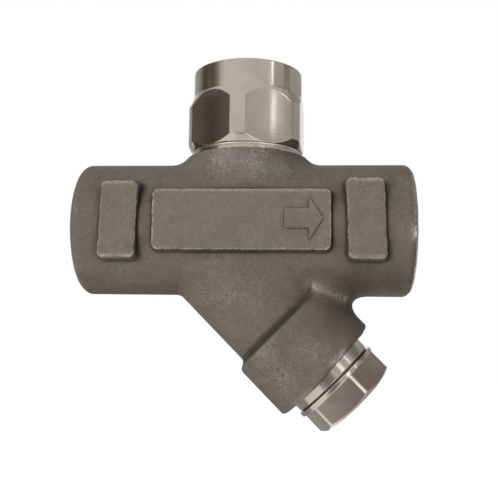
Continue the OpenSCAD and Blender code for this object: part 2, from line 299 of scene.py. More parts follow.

# Places on the casting where the blasted skin is coarse, painted lighter and flecked with painted glints
COARSE_GLINTS = [
    (34.5, -13.2, 15.4, 5.0, 1.9),
    (41.5, -13.6, 14.2, 5.0, 1.9),
    (47.5, -12.0, 13.2, 4.0, 1.6),
    (34.0, -13.0, -17.5, 6.0, 1.0),
    (41.0, -13.0, -15.0, 6.0, 0.8),
    (43.5, -12.5, -30.0, 5.0, 1.7),
    (47.5, -12.5, -34.5, 5.0, 1.6),
    (53.0, -13.8, -28.5, 5.0, 0.8),
    (11.0, -11.0, -11.5, 6.0, 0.8),
    (11.4, -16.2, 5.0, 5.0, 0.5),
    (11.4, -16.2, -5.0, 4.0, 0.55),
    (66.5, -16.2, 6.0, 4.0, 0.7),
]

# Places on the casting that are stained brown, and painted shadow under the run beside the branch
STAINS_AND_SHADOW = [
    (3.0, -13.0, 3.0, 12.0, 0.12),
    (45.5, -12.5, -32.0, 7.0, 0.16),
    (11.4, -16.5, 0.0, 9.0, 0.1),
    # Painted shadow where the branch shades the run's underside
    (66.0, -9.0, -12.8, 6.0, 0.55),
    (73.0, -9.5, -12.5, 5.0, 0.5),
    (60.0, -10.0, -22.0, 4.0, 0.3),
]

# Edge rounding: its reach, and the part of a short side that it and the row beside it may take
EDGE = 0.16
EDGE_PART = 4
BESIDE_PART = 2.5

# Hexagons: half a side's angle, the turn over a corner's edge, points along each, and which faces are flats
HEX_HALF = math.radians(30)
HEX_SOFT = math.radians(0.6)
CORNER_STEPS = 4
EDGE_STEPS = 7
FLAT_STEPS = 14
FLAT_CROWN = 0.16
UPRIGHT = 0.05
CORNER_MARGIN = 0.03

# Rows inside a flat disc, as parts of its radius
DISC_MIDDLE = 0.5
DISC_RIM = 0.9

# Casting's grid, the pull of each point to the middle of its cell's crossings, and a sharp edge's least angle
GRID = 0.34
CELL_PULL = 0.03
SHARP = math.radians(32)

# Depth at which a face of the casting counts as cut, and the band under the trap boss's land without wear
CUT_DEPTH = 0.1
FLARE_MARGIN = 0.7


# Mesh making

def add_piece(name, points, faces, materials, body, node, place=None, face_material=None):
    """Makes a smooth mesh from points in millimetres with its materials, hangs it on its body and hides its
    CAD node.
    """
    mesh = bpy.data.meshes.new(name)
    mesh.from_pydata((np.asarray(points) * MM).tolist(), [], faces)
    for material in materials:
        mesh.materials.append(material)
    if face_material is not None:
        mesh.polygons.foreach_set("material_index", face_material)
    mesh.polygons.foreach_set("use_smooth", [True] * len(mesh.polygons))
    mesh.set_sharp_from_angle(angle=SHARP)
    mesh.update()
    piece = bpy.data.objects.new(name, mesh)
    if place is not None:
        piece.matrix_world = place
    bpy.context.scene.collection.objects.link(piece)
    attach(piece, body)
    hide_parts(node)
    return piece


def add_attribute(piece, name, values):
    """Stores one value for each point of a piece."""
    layer = piece.data.attributes.new(name, "FLOAT", "POINT")
    layer.data.foreach_set("value", values)


def gradient(field, at, reach=0.02):
    """Unit normals of a field at the points."""
    normal = np.empty_like(at)
    for axis in range(3):
        shift = np.zeros(3)
        shift[axis] = reach
        normal[:, axis] = field(*(at + shift).T) - field(*(at - shift).T)
    return normal / np.linalg.norm(normal, axis=1, keepdims=True)


def crossings(value, low, step, axis):
    """Where the grid's edges along one axis cross the surface, the four cells around each, and its side."""
    ahead = np.roll(value, -1, axis) < 0
    inside = value < 0
    start = np.argwhere(inside != ahead)
    start = start[start[:, axis] < value.shape[axis] - 1]
    end = start.copy()
    end[:, axis] += 1
    near = value[tuple(start.T)]
    far = value[tuple(end.T)]
    share = near / (near - far)
    at = low + start * step
    at[:, axis] += share * step
    left, right = (axis + 1) % 3, (axis + 2) % 3
    cells = np.repeat(start[:, None, :], 4, axis=1)
    cells[:, 1:3, left] -= 1
    cells[:, 2:4, right] -= 1
    return at, cells, near < 0


def contour(field, low, high, step):
    """Closed mesh of the surface where a field is zero, with its sharp edges kept (dual contouring)."""
    axes = [np.arange(low[i], high[i] + step, step) for i in range(3)]
    value = field(*np.meshgrid(*axes, indexing="ij"))
    found = [crossings(value, low, step, axis) for axis in range(3)]
    at = np.concatenate([f[0] for f in found])
    cells = np.concatenate([f[1] for f in found])
    outward = np.concatenate([f[2] for f in found])
    normal = gradient(field, at)
    flat = np.ravel_multi_index(tuple(cells.reshape(-1, 3).T), value.shape)
    used, corner = np.unique(flat, return_inverse=True)
    corner = corner.reshape(-1)
    at4 = np.repeat(at, 4, axis=0)
    normal4 = np.repeat(normal, 4, axis=0)
    count = np.bincount(corner)
    middle = np.stack([np.bincount(corner, at4[:, i]) / count for i in range(3)], axis=1)
    height = np.sum(normal4 * (at4 - middle[corner]), axis=1)
    square = np.empty((len(used), 3, 3))
    side = np.empty((len(used), 3))
    for i in range(3):
        side[:, i] = np.bincount(corner, normal4[:, i] * height)
        for j in range(3):
            square[:, i, j] = np.bincount(corner, normal4[:, i] * normal4[:, j])
    square += CELL_PULL * np.eye(3)
    points = middle + np.linalg.solve(square, side[:, :, None])[:, :, 0]
    cell_low = low + np.stack(np.unravel_index(used, value.shape), axis=1) * step
    points = np.clip(points, cell_low, cell_low + step)
    quads = corner.reshape(-1, 4)
    quads[~outward] = quads[~outward, ::-1]
    return points, quads


def turned(rows, angles, ring=False):
    """Mesh of a turned form: each row is a radius and a height, as numbers or one per angle.

    A row of radius 0 at either end becomes one point. A ring's last row joins its first.
    """
    count = len(angles)
    points, starts = [], []
    for radius, height in rows:
        starts.append(len(points))
        if np.max(radius) < TINY:
            points.append((0.0, 0.0, float(np.mean(height))))
            continue
        radius = np.broadcast_to(radius, (count,))
        height = np.broadcast_to(height, (count,))
        points.extend(zip(radius * np.cos(angles), radius * np.sin(angles), height))
    sizes = np.diff(starts + [len(points)])
    faces = []
    last = len(rows) if ring else len(rows) - 1
    for i in range(last):
        j = (i + 1) % len(rows)
        for k in range(count):
            n = (k + 1) % count
            one = [starts[i] + (k if sizes[i] > 1 else 0), starts[i] + (n if sizes[i] > 1 else 0)]
            two = [starts[j] + (n if sizes[j] > 1 else 0), starts[j] + (k if sizes[j] > 1 else 0)]
            faces.append(tuple(dict.fromkeys(one + two)))
    return np.array(points), faces


def eased(corners, ease=EDGE):
    """Rows of a profile with rounded inner corners, and a row beside each that keeps the faces true."""
    corners = [np.stack(np.broadcast_arrays(*corner), axis=-1).astype(float) for corner in corners]
    corners = np.broadcast_arrays(*corners)
    rows = [corners[0]]
    for before, here, after in zip(corners, corners[1:], corners[2:]):
        back = before - here
        ahead = after - here
        back_reach = np.linalg.norm(back, axis=-1, keepdims=True)
        ahead_reach = np.linalg.norm(ahead, axis=-1, keepdims=True)
        back = back / back_reach
        ahead = ahead / ahead_reach
        enter = here + back * np.minimum(ease, back_reach / EDGE_PART)
        leave = here + ahead * np.minimum(ease, ahead_reach / EDGE_PART)
        rows.append(here + back * np.minimum(2 * ease, back_reach / BESIDE_PART))
        rows += [enter, (enter + 2 * here + leave) / 4, leave]
        rows.append(here + ahead * np.minimum(2 * ease, ahead_reach / BESIDE_PART))
    rows.append(corners[-1])
    return [(row[..., 0], row[..., 1]) for row in rows]


def even_angles(count):
    """Angles evenly spaced around a circle."""
    return np.arange(count) * 2 * math.pi / count


def thread_rows(angles, r_crest, r_root, start, end, pitch):
    """Rows of a helical thread that fades out at both ends."""
    rows = []
    for height in np.arange(start, end, math.copysign(pitch / THREAD_STEPS, end - start)):
        turn = (height / pitch - angles / (2 * math.pi)) % 1
        wave = np.clip(GROOVE_WIDTH - np.abs(turn - 0.5) * GROOVE_SLOPE, 0, 1)
        fade = min(1, abs(height - start) / pitch, abs(end - height) / pitch)
        rows.append((r_crest + (r_root - r_crest) * wave * fade, height))
    return rows


def hexagon_angles(flats, corner_r, clock):
    """Angles around a hexagon with turned corners, close together where the flats end."""
    edge = math.acos(flats / 2 / corner_r)
    outer, inner = edge + HEX_SOFT, edge - HEX_SOFT
    sector = np.concatenate([
        np.linspace(-HEX_HALF, -outer, CORNER_STEPS)[:-1],
        np.linspace(-outer, -inner, EDGE_STEPS),
        np.linspace(-inner, inner, FLAT_STEPS)[1:-1],
        np.linspace(inner, outer, EDGE_STEPS),
        np.linspace(outer, HEX_HALF, CORNER_STEPS)[1:-1],
    ])
    return np.concatenate([clock + HEX_HALF + k * 2 * HEX_HALF + sector for k in range(6)])


def hexagon_reach(angles, flats, corner_r, clock, crown, soft=0.05):
    """Radius of a hexagon with turned corners and slightly crowned flats in each direction."""
    turn = (angles - clock) % (2 * HEX_HALF) - HEX_HALF
    width = flats / 2 * math.tan(math.acos(flats / 2 / corner_r))
    flat = (flats / 2 - crown * (flats / 2 * np.tan(turn) / width) ** 2) / np.cos(turn)
    share = np.clip(0.5 + 0.5 * (corner_r - flat) / soft, 0, 1)
    return corner_r + (flat - corner_r) * share - soft * share * (1 - share)


# Casting

def round_union(a, b, r):
    """Joins two fields with a hollow fillet."""
    return np.maximum(r, np.minimum(a, b)) - np.hypot(np.maximum(r - a, 0), np.maximum(r - b, 0))


def round_cut(a, b, r):
    """Keeps what is inside both fields, with a rounded edge."""
    return np.minimum(-r, np.maximum(a, b)) + np.hypot(np.maximum(r + a, 0), np.maximum(r + b, 0))


def capped(radial, along, low, high):
    """A bore between two stations."""
    return np.maximum(radial, np.maximum(low - along, along - high))


def branch_place(x, y, z):
    """Distance along the branch, across it towards the run's underside, and from its axis."""
    along = (x - BRANCH_X - z) * ROOT_HALF
    across = (x - BRANCH_X + z) * ROOT_HALF
    return along, across, np.hypot(across, y)


def plate_shape(x, y, z, middle, half, edge, lean=0.0, rise=0.0):
    """A raised plate with drafted sides and round corners. Its sides may lean and its top may rise."""
    across = np.abs(x - middle - lean * (z - PLATE_Z)) - half[0] + PLATE_CORNER
    up = np.abs(z - PLATE_Z - rise / 2) - half[1] - rise / 2 + PLATE_CORNER
    outline = np.hypot(np.maximum(across, 0), np.maximum(up, 0)) - PLATE_CORNER
    outline = outline + np.minimum(np.maximum(across, up), 0)
    wobble = sum(np.sin(by_x * x + by_z * z + start) for by_x, by_z, start in PLATE_WAVES)
    wall = outline - (y - PLATE_Y) * PLATE_DRAFT + PLATE_WOBBLE * wobble
    plate = round_cut(wall, PLATE_Y - y, edge)
    return np.maximum(plate, y - PLATE_Y - PLATE_DEPTH)


def cast_shape(x, y, z):
    """Distance to the casting before it is machined."""
    radial = np.hypot(y, z) - RUN_R
    end = np.abs(x - TRAP_X) - RUN_LENGTH / 2
    chamfer = (radial + end + END_CHAMFER) * ROOT_HALF
    run = round_cut(round_cut(radial, chamfer, END_ROUND), end, END_ROUND / 2)

    along, across, from_axis = branch_place(x, y, z)
    tube = capped(from_axis - TUBE_R, along, 0, BOSS_END - OVERLAP)
    boss_middle = (BOSS_START + BOSS_END) / 2
    boss_end = np.abs(along - boss_middle) - (BOSS_END - BOSS_START) / 2
    outer = along > boss_middle
    boss_end = boss_end + BOSS_TILT * np.clip(across, *BOSS_TILT_SPAN) * outer
    boss = round_cut(from_axis - BOSS_R, boss_end, np.where(outer, BOSS_ROUND, SHOULDER_ROUND))
    branch = round_union(tube, boss, STEP_BLEND)
    lean = across / np.maximum(from_axis, TINY)
    shape = round_union(run, branch, BRANCH_BLEND + BRANCH_BLEND_SWING * lean)

    from_trap = np.hypot(x - TRAP_X, y)
    sideways = (x - TRAP_X) ** 2 / np.maximum(from_trap, TINY) ** 2
    trap_blend = TRAP_BLEND_FRONT + (TRAP_BLEND_SIDE - TRAP_BLEND_FRONT) * sideways
    shape = round_union(shape, np.maximum(from_trap - LAND_R, -z), trap_blend)
    shape = np.maximum(shape, z - FLARE_TOP)

    shape = round_union(shape, plate_shape(x, y, z, TRAP_X, PLATE_HALF, PLATE_EDGE), PLATE_FOOT)
    for side in (-1, 1):
        middle = TRAP_X + side * PAD_PLACE
        pad = plate_shape(x, y, z, middle, PAD_HALF, PAD_EDGE, -side * PAD_LEAN, PAD_RISE[side])
        shape = round_union(shape, pad, PLATE_FOOT)
    return shape


def body_shape(x, y, z):
    """Distance to the machined casting."""
    along, _, from_axis = branch_place(x, y, z)
    from_run = np.hypot(y, z)
    far = RUN_LENGTH
    cuts = [
        capped(from_run - PORT_MAJOR_R, x, -far, PORT_DEPTH),
        capped(from_run - PORT_MAJOR_R, x, RUN_LENGTH - PORT_DEPTH, 2 * far),
        capped(from_run - INLET_R, x, PORT_DEPTH - OVERLAP, INLET_END),
        capped(np.hypot(y, z - OUTLET_RISE) - OUTLET_R, x, OUTLET_START, RUN_LENGTH - PORT_DEPTH + OVERLAP),
        capped(np.hypot(x - DROP_X, y) - DROP_R, z, OUTLET_RISE, far),
        capped(np.hypot(x - TRAP_X, y) - RISER_R, z, RISER_FOOT, far),
        capped(from_axis - THROAT_R, along, *THROAT_SPAN),
        capped(from_axis - SCREEN_SEAT_R, along, SCREEN_SEAT_START, POCKET_START + OVERLAP),
        capped(from_axis - POCKET_R, along, POCKET_START, far),
    ]
    shape = cast_shape(x, y, z)
    for cut in cuts:
        shape = np.maximum(shape, -cut)
    return shape


def bend_at(field, at, reach=0.55):
    """How sharply the surface bends at each point: above 0 on edges, below 0 in hollows."""
    total = np.zeros(len(at))
    for axis in range(3):
        for side in (-reach, reach):
            shift = np.zeros(3)
            shift[axis] = side
            total += field(*(at + shift).T)
    return (total / 6 - field(*at.T)) / reach


def nearness(at, spots):
    """How strongly the nearest spot marks each point."""
    total = np.zeros(len(at))
    for x, y, z, reach, strength in spots:
        square = np.sum((at - (x, y, z)) ** 2, axis=1)
        total = np.maximum(total, strength * np.exp(-square / reach ** 2))
    return total


def make_casting(cast, bored):
    """The casting, with machined metal on its bores and end faces."""
    margin = 2 * GRID
    low = np.array([-margin, PLATE_Y - margin, body_low[2] - margin])
    high = np.array([RUN_LENGTH + margin, RUN_R + margin, FLARE_TOP + margin])
    points, quads = contour(body_shape, low, high, GRID)
    centre = points[quads].mean(axis=1)
    cut = cast_shape(*centre.T) < -CUT_DEPTH
    end = np.abs(centre[:, 0] - TRAP_X) > RUN_LENGTH / 2 - END_RIM
    piece = add_piece("casting", points, quads.tolist(), [cast, bored], "valve_body", "body",
                      face_material=(cut | end).astype(int))
    bend = bend_at(body_shape, points)
    bend[points[:, 2] > FLARE_TOP - FLARE_MARGIN] = 0
    along, across, from_axis = branch_place(*points.T)
    # A painted shadow on the tube beside the boss's step, drawn as a dip in the bend so that it darkens as a
    # hollow
    rim, rim_width = STEP_RIM
    beside_step = np.clip((BOSS_R + rim - from_axis) / rim_width, 0, 1) * (from_axis > POCKET_R + OVERLAP)
    beside_step *= np.clip((STEP_FADE - across) / STEP_FADE_SPAN, 0, 1)
    reach = np.where(along < BOSS_START, *STEP_REACH)
    bend -= STEP_SHADOW * beside_step * np.exp(-((along - BOSS_START) / reach) ** 2)
    add_attribute(piece, "bend", bend)
    add_attribute(piece, "rub_and_highlight", nearness(points, RUBS_AND_HIGHLIGHTS))
    add_attribute(piece, "coarse_glint", nearness(points, COARSE_GLINTS))
    # Brown stains, with painted shadow under the run beside the branch
    add_attribute(piece, "stain", nearness(points, STAINS_AND_SHADOW))


def make_arrow(cast):
    """The raised flow arrow on the middle plate."""
    outline = [
        (ARROW_TIP, 0), (ARROW_HEAD, ARROW_HALF), (ARROW_HEAD, ARROW_SHAFT), (ARROW_TAIL, ARROW_SHAFT),
        (ARROW_TAIL, -ARROW_SHAFT), (ARROW_HEAD, -ARROW_SHAFT), (ARROW_HEAD, -ARROW_HALF),
    ]
    flat = np.array(outline, dtype=float)
    ahead = np.roll(flat, -1, axis=0) - flat
    outward = np.stack([-ahead[:, 1], ahead[:, 0]], axis=1)
    outward /= np.linalg.norm(outward, axis=1, keepdims=True)
    before = np.roll(outward, 1, axis=0)
    mitre = (outward + before) / (1 + np.sum(outward * before, axis=1, keepdims=True))
    points = []
    for grow, sunk, _ in ARROW_LEVELS:
        ring = flat + mitre * grow
        points += [(x, PLATE_Y + sunk, ARROW_Z + z) for x, z in ring]
    count = len(flat)
    faces = [tuple(range(count - 1, -1, -1)), tuple(range(len(points) - count, len(points)))]
    for level in range(len(ARROW_LEVELS) - 1):
        for k in range(count):
            n = (k + 1) % count
            a = level * count
            faces.append((a + k, a + n, a + count + n, a + count + k))
    piece = add_piece("flow_arrow", points, faces, [cast], "valve_body", "body")
    add_attribute(piece, "bend", np.repeat([bend for _, _, bend in ARROW_LEVELS], count))


def on_flats(points, faces, flats, corner_r, low, high):
    """1 for the upright faces on a hexagon's flats between two heights, 0 for the rest."""
    marks = []
    for face in faces:
        corners = points[list(face)]
        radius = np.hypot(corners[:, 0], corners[:, 1])
        normal = np.cross(corners[1] - corners[0], corners[-1] - corners[0])
        upright = abs(normal[2]) < UPRIGHT * np.linalg.norm(normal)
        between = radius.min() > flats / 2 - FLAT_CROWN and radius.mean() < corner_r - CORNER_MARGIN
        marks.append(int(upright and between and low < corners[:, 2].mean() < high))
    return marks


def trap_axis():
    """Place of the turned pieces that stand on the trap's axis."""
    return Matrix.Translation(Vector((TRAP_X, 0, 0)) * MM)


def branch_axis():
    """Place of the turned pieces that lie on the branch's axis."""
    return Matrix.Translation(Vector((BRANCH_X, 0, 0)) * MM) @ Matrix.Rotation(BRANCH_TURN, 4, "Y")


def make_spigot(steel):
    """The machined land and the threaded spigot that carries the trap cap."""
    angles = even_angles(ROUND_STEPS)
    foot = FLARE_TOP - OVERLAP
    root_r = SPIGOT_R - FINE_DEPTH
    thread_start = LAND_Z + THREAD_LEAD
    thread_end = SPIGOT_TOP - THREAD_LEAD
    rows = eased([(RISER_R, SEAT_FLOOR), (RISER_R, foot), (LAND_R - LAND_SINK, foot), (LAND_R, FLARE_TOP),
                  (LAND_R, LAND_Z), (root_r, LAND_Z), (root_r, thread_start)])
    rows += thread_rows(angles, SPIGOT_R, root_r, thread_start + THREAD_RUNOUT, thread_end, FINE_PITCH)
    rows += eased([(SPIGOT_R, thread_end), (SPIGOT_R - THREAD_LEAD, SPIGOT_TOP),
                   (SEAT_R + SEAT_CHAMFER, SPIGOT_TOP), (SEAT_R, SPIGOT_TOP - SEAT_CHAMFER),
                   (SEAT_R, SEAT_FLOOR)])
    points, faces = turned(rows, angles, ring=True)
    add_piece("trap_spigot", points, faces, [steel], "valve_body", "body", trap_axis())


def make_neck(steel):
    """The machined neck under the strainer cap."""
    middle = (NECK_ROOT + NECK_END) / 2
    rows = eased([(POCKET_R, middle), (POCKET_R, NECK_ROOT), (NECK_R, NECK_ROOT), (NECK_R, NECK_END),
                  (POCKET_R + NECK_CHAMFER, NECK_END), (POCKET_R, NECK_END - NECK_CHAMFER),
                  (POCKET_R, middle)])
    points, faces = turned(rows[:-1], even_angles(ROUND_STEPS), ring=True)
    add_piece("strainer_neck", points, faces, [steel], "valve_body", "body", branch_axis())


def make_port_thread(steel, name, place):
    """The pipe thread inside one port, as a ring sunk in the casting's bore."""
    angles = even_angles(ROUND_STEPS)
    outer = PORT_MAJOR_R + PORT_SINK
    deep = PORT_DEPTH + PORT_SKIN
    rows = [(outer, deep), (outer, PORT_MOUTH), (PORT_MAJOR_R - PORT_SKIN, PORT_MOUTH)]
    rows += thread_rows(angles, PORT_MINOR_R, PORT_ROOT_R, PORT_MOUTH + PORT_LEAD, PORT_DEPTH, PORT_PITCH)
    rows += [(PORT_MINOR_R, deep)]
    points, faces = turned(rows, angles, ring=True)
    faces = [face[::-1] for face in faces]
    add_piece(name, points, faces, [steel], "valve_body", "body", place)


def make_trap_cap(steel, milled):
    """The trap cap: a hexagon with turned corners, a cone and a round top, bored and threaded inside."""
    angles = hexagon_angles(CAP_FLATS, CAP_CORNER_R, CAP_CLOCK)
    reach = hexagon_reach(angles, CAP_FLATS, CAP_CORNER_R, CAP_CLOCK, FLAT_CROWN)
    cone = CAP_HEX_TOP + (CAP_CONE_TOP - CAP_HEX_TOP) * (CAP_CORNER_R - reach) / (CAP_CORNER_R - CAP_R)
    foot = CAP_Z + CAP_FOOT * np.maximum(reach - CAP_FOOT_R, CAP_LEAST_FOOT) / (CAP_CORNER_R - CAP_FOOT_R)
    foot_r = np.minimum(reach - CAP_LEAST_FOOT, CAP_FOOT_R)
    root_r = CAP_BORE_R + CAP_THREAD_DEPTH
    rows = [(0, CAP_TOP), (CAP_R * DISC_MIDDLE, CAP_TOP)]
    rows += eased([(CAP_R * DISC_RIM, CAP_TOP), (CAP_R - CAP_EDGE, CAP_TOP), (CAP_R, CAP_TOP - CAP_EDGE),
                   (CAP_R, CAP_CONE_TOP), (reach, cone), (reach, foot), (foot_r, CAP_Z),
                   (CAP_BORE_R + CAP_LEAD, CAP_Z), (CAP_BORE_R, CAP_Z + CAP_LEAD)])
    thread_end = CAP_BORE_TOP - THREAD_RUNOUT
    rows += thread_rows(angles, CAP_BORE_R, root_r, CAP_THREAD_START, thread_end, FINE_PITCH)
    rows += eased([(CAP_BORE_R, CAP_BORE_TOP - CAP_RELIEF), (CAP_BORE_R, CAP_BORE_TOP),
                   (CHAMBER_R, CAP_BORE_TOP), (CHAMBER_R, CHAMBER_TOP),
                   (CHAMBER_R * DISC_MIDDLE, CHAMBER_TOP)])
    rows += [(0, CHAMBER_TOP)]
    points, faces = turned(rows, angles)
    marks = on_flats(points, faces, CAP_FLATS, CAP_CORNER_R, CAP_Z, CAP_CONE_TOP)
    faces = [face[::-1] for face in faces]
    add_piece("cap_shell", points, faces, [steel, milled], "cap", "trap_cap",
              trap_axis(), marks)


def make_strainer_cap(steel, milled):
    """The strainer cap: a hexagon on a washer face, with a threaded shank around the screen's end."""
    angles = hexagon_angles(PLUG_FLATS, PLUG_CORNER_R, PLUG_CLOCK)
    reach = hexagon_reach(angles, PLUG_FLATS, PLUG_CORNER_R, PLUG_CLOCK, FLAT_CROWN / 2)
    flange_end = PLUG_SEAT + PLUG_FLANGE
    end_r = PLUG_CORNER_R - 2 * PLUG_CHAMFER
    chamfer = PLUG_END - PLUG_CHAMFER * (reach - end_r) / (PLUG_CORNER_R - end_r)
    shank_end = PLUG_SEAT - PLUG_SHANK
    root_r = PLUG_THREAD_R - FINE_DEPTH
    neck_r = PLUG_THREAD_R - PLUG_RELIEF
    thread_end = PLUG_SEAT - PLUG_RUNOUT
    rows = [(0, PLUG_BORE_END), (PLUG_BORE_R * DISC_MIDDLE, PLUG_BORE_END)]
    rows += eased([(PLUG_BORE_R * DISC_RIM, PLUG_BORE_END), (PLUG_BORE_R, PLUG_BORE_END),
                   (PLUG_BORE_R, shank_end), (PLUG_THREAD_R - THREAD_LEAD, shank_end),
                   (PLUG_THREAD_R, shank_end + THREAD_LEAD)])
    rows += thread_rows(angles, PLUG_THREAD_R, root_r, shank_end + PLUG_LEAD, thread_end, FINE_PITCH)
    rows += eased([(neck_r, PLUG_SEAT - PLUG_LEAD), (neck_r, PLUG_SEAT), (PLUG_FLANGE_R, PLUG_SEAT),
                   (PLUG_FLANGE_R, flange_end), (reach, flange_end), (reach, chamfer), (end_r, PLUG_END),
                   (end_r * PLUG_END_RIM, PLUG_END)])
    rows += [(0, PLUG_END)]
    points, faces = turned(rows, angles)
    marks = on_flats(points, faces, PLUG_FLATS, PLUG_CORNER_R, flange_end, PLUG_END)
    add_piece("plug_shell", points, faces, [steel, milled], "plug", "strainer_cap",
              branch_axis(), marks)


def make_ring(name, low, high, r_in, r_out, metal, body, node, place):
    """A flat ring gasket with eased edges."""
    middle = (low + high) / 2
    rows = eased([(r_in, middle), (r_in, low), (r_out, low), (r_out, high), (r_in, high), (r_in, middle)],
                 (high - low) / 3)
    points, faces = turned(rows[:-1], even_angles(ROUND_STEPS), ring=True)
    add_piece(name, points, faces, [metal], body, node, place)


# Materials

# Colours of the casting, from its skin to its marks
CAST_DARK = (0.146, 0.121, 0.1, 1)
CAST_LIGHT = (0.178, 0.148, 0.123, 1)
CAST_CLOUD = (0.152, 0.138, 0.113, 1)
COARSE_GLINT_TINT = (0.975, 1.01, 1.01, 1)
FLECK_GLINT = (0.4, 0.365, 0.31, 1)
PIT = (0.05, 0.042, 0.033, 1)
STAIN_AND_SHADOW = (0.06, 0.043, 0.03, 1)
WIDE_CORNER_SHADE = (0.06, 0.05, 0.04, 1)
CLOSE_CORNER_SHADE = (0.04, 0.033, 0.025, 1)
HOLLOW_SHADE = (0.035, 0.029, 0.022, 1)
WORN_AND_LIT = (0.46, 0.42, 0.36, 1)
BARE_AND_GLINT = (0.8, 0.77, 0.72, 1)

# Colours of the other metal, and of the stage
STEEL_CORNER_SHADE = (0.04, 0.033, 0.026, 1)
SHEET_LIGHT = (0.5, 0.48, 0.44, 1)
SHEET_DARK = (0.4, 0.37, 0.32, 1)
FLOOR_GREY = (0.6, 0.6, 0.6, 1)
FLAG_DIM = (1.0, 0.82, 0.66, 1)
FLAG_BRIGHT = (1.0, 0.985, 1.01, 1)
WHITE = (1, 1, 1, 1)
BLACK = (0, 0, 0, 1)

# Front faces that count as plates, which are painted lighter, tool marks' stretch around the axis, and
# samples for painted shade in corners
PLATE_FACE = (0.4, 0.1)
MARK_STRETCH = (0.06, 0.06, 1.0)
MARK_TURN = 0.25
CREASE_SAMPLES = 8


def add_node(tree, kind, settings=None, **inputs):
    """Adds a shader node, with its inputs set or linked. In names, _ stands for a space."""
    made = tree.nodes.new("ShaderNode" + kind)
    for key, value in (settings or {}).items():
        setattr(made, key, value)
    for key, value in inputs.items():
        socket = made.inputs[key.replace("_", " ")]
        if isinstance(value, bpy.types.NodeSocket):
            tree.links.new(value, socket)
        else:
            socket.default_value = value
    return made


def noise(tree, where, size, detail=3.0, distortion=0.0):
    """Noise whose lumps are about size millimetres across."""
    scale = 1 / (size * MM)
    made = add_node(tree, "TexNoise", Vector=where, Scale=scale, Detail=detail, Distortion=distortion)
    return made.outputs[0]


def spread(tree, value, low, high, to_low=0.0, to_high=1.0):
    """Maps a range of a value on to another, and holds it there."""
    made = add_node(tree, "MapRange", {"clamp": True}, Value=value)
    for index, number in zip((1, 2, 3, 4), (low, high, to_low, to_high)):
        made.inputs[index].default_value = number
    return made.outputs[0]


def combine(tree, operation, first, second):
    """One step of arithmetic."""
    made = add_node(tree, "Math", {"operation": operation})
    for socket, value in zip(made.inputs, (first, second)):
        if isinstance(value, bpy.types.NodeSocket):
            tree.links.new(value, socket)
        else:
            socket.default_value = value
    return made.outputs[0]


def tint(tree, share, first, second, blend="MIX"):
    """Mixes two colours."""
    made = add_node(tree, "Mix", {"data_type": "RGBA", "blend_type": blend})
    for index, value in ((0, share), (6, first), (7, second)):
        if isinstance(value, bpy.types.NodeSocket):
            tree.links.new(value, made.inputs[index])
        else:
            made.inputs[index].default_value = value
    return made.outputs[2]


def scaled(tree, colour, factor):
    """A colour times a factor or another colour."""
    return tint(tree, 1.0, colour, factor, "MULTIPLY")


def crease(tree, reach):
    """1 in the open, less where other surfaces stand within reach millimetres."""
    return add_node(tree, "AmbientOcclusion", {"samples": CREASE_SAMPLES}, Distance=reach * MM).outputs["AO"]


def new_material(name):
    """An empty material, its tree, and its surface shader."""
    material = bpy.data.materials.new(name)
    material.use_nodes = True
    tree = material.node_tree
    tree.nodes.clear()
    shader = add_node(tree, "BsdfPrincipled")
    add_node(tree, "OutputMaterial", Surface=shader.outputs[0])
    return material, tree, shader


def shade(tree, shader, colour, roughness, height, depth):
    """Links colour, roughness and a bump of some depth in millimetres to the shader."""
    bump = add_node(tree, "Bump", Height=height, Strength=1.0, Distance=depth * MM)
    tree.links.new(colour, shader.inputs["Base Color"])
    tree.links.new(roughness, shader.inputs["Roughness"])
    tree.links.new(bump.outputs[0], shader.inputs["Normal"])


